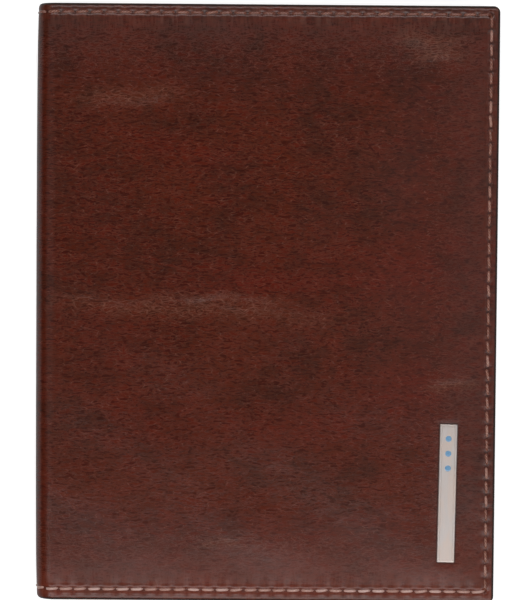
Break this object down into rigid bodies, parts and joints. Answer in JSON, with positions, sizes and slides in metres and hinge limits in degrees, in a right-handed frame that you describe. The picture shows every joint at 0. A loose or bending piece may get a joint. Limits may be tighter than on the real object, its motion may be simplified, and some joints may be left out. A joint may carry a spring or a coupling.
{
  "type": "passport holder",
  "caption": "Leather passport holder that opens like a book, with a passport flap, a card panel with slots and a small metal plate on its front.",
  "frame": {"origin": "centre of the closed holder's footprint, on the face that the back half rests on", "axes": "+X from the spine to the open edge, +Y along the spine to the top edge, +Z out through the front half"},
  "size_m": [0.106, 0.137, 0.0143],
  "materials": {
    "outer_leather": "semi-gloss reddish-brown calf, fine grain, dark painted edges",
    "board": "bonded leather fibre board, edge painted",
    "lining": "dark brown woven lining",
    "pocket_leather": "thin brown calf, satin",
    "thread": "waxed polyester sewing thread",
    "plate_metal": "satin pale champagne plating",
    "pin_metal": "plain"
  },
  "bodies": {
    "back_cover": {"back_outer_leather": "outer_leather", "back_board": "board", "back_lining": "lining", "passport_flap": "pocket_leather", "passport_flap_turned_edge": "pocket_leather", "back_needle_thread": "thread", "back_bobbin_thread": "thread"},
    "spine": {"spine_outer_leather": "outer_leather", "spine_board": "board", "spine_lining": "lining", "spine_needle_thread": "thread", "spine_bobbin_thread": "thread"},
    "front_cover": {"front_outer_leather": "outer_leather", "front_board": "board", "front_lining": "lining", "card_panel": "pocket_leather", "card_panel_turned_edge": "pocket_leather", "card_slot_upper": "pocket_leather", "card_slot_upper_edge": "pocket_leather", "card_slot_lower": "pocket_leather", "card_slot_lower_edge": "pocket_leather", "card_slot_thread": "thread", "front_needle_thread": "thread", "front_bobbin_thread": "thread", "name_plate": "plate_metal", "plate_pins": "pin_metal", "plate_washers": "pin_metal"}
  },
  "joints": [
    {"name": "spine_fold", "type": "hinge", "parent": "back_cover", "child": "spine", "pos_m": [-0.05154, 0, 0.00146], "axis": [0, -1, 0], "range_deg": [0, 90]},
    {"name": "cover_fold", "type": "hinge", "parent": "spine", "child": "front_cover", "pos_m": [-0.05154, 0, 0.01248], "axis": [0, -1, 0], "range_deg": [0, 90]}
  ]
}
